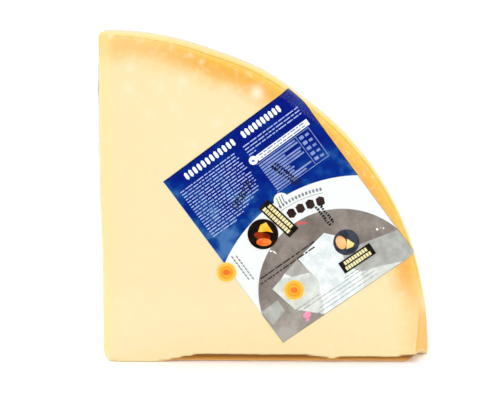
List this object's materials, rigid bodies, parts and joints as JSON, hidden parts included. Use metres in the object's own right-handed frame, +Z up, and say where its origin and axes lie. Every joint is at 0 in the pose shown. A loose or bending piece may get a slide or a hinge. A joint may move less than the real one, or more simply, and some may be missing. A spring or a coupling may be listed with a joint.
{
  "type": "parmesan chunk",
  "caption": "Quarter-round chunk of hard pale cheese with a convex rind, standing on a cut side, wrapped in clear skin-tight film with a slanted paper label on its cut face.",
  "frame": {"origin": "middle of the chunk's footprint, on the surface that it stands on", "axes": "+Z up, +X from the upright cut towards the rind's far end, -Y out of the pale level cut that carries the label"},
  "size_m": [0.2184, 0.1156, 0.2162],
  "materials": {
    "cheese": "pale paste under clear skin-tight film, golden towards the rind",
    "label": "printed paper under the film: deep blue, white and slate grey",
    "film": "clear skin-tight film, glossy"
  },
  "bodies": {
    "root": {"cheese": "cheese", "label": "label"}
  },
  "joints": []
}
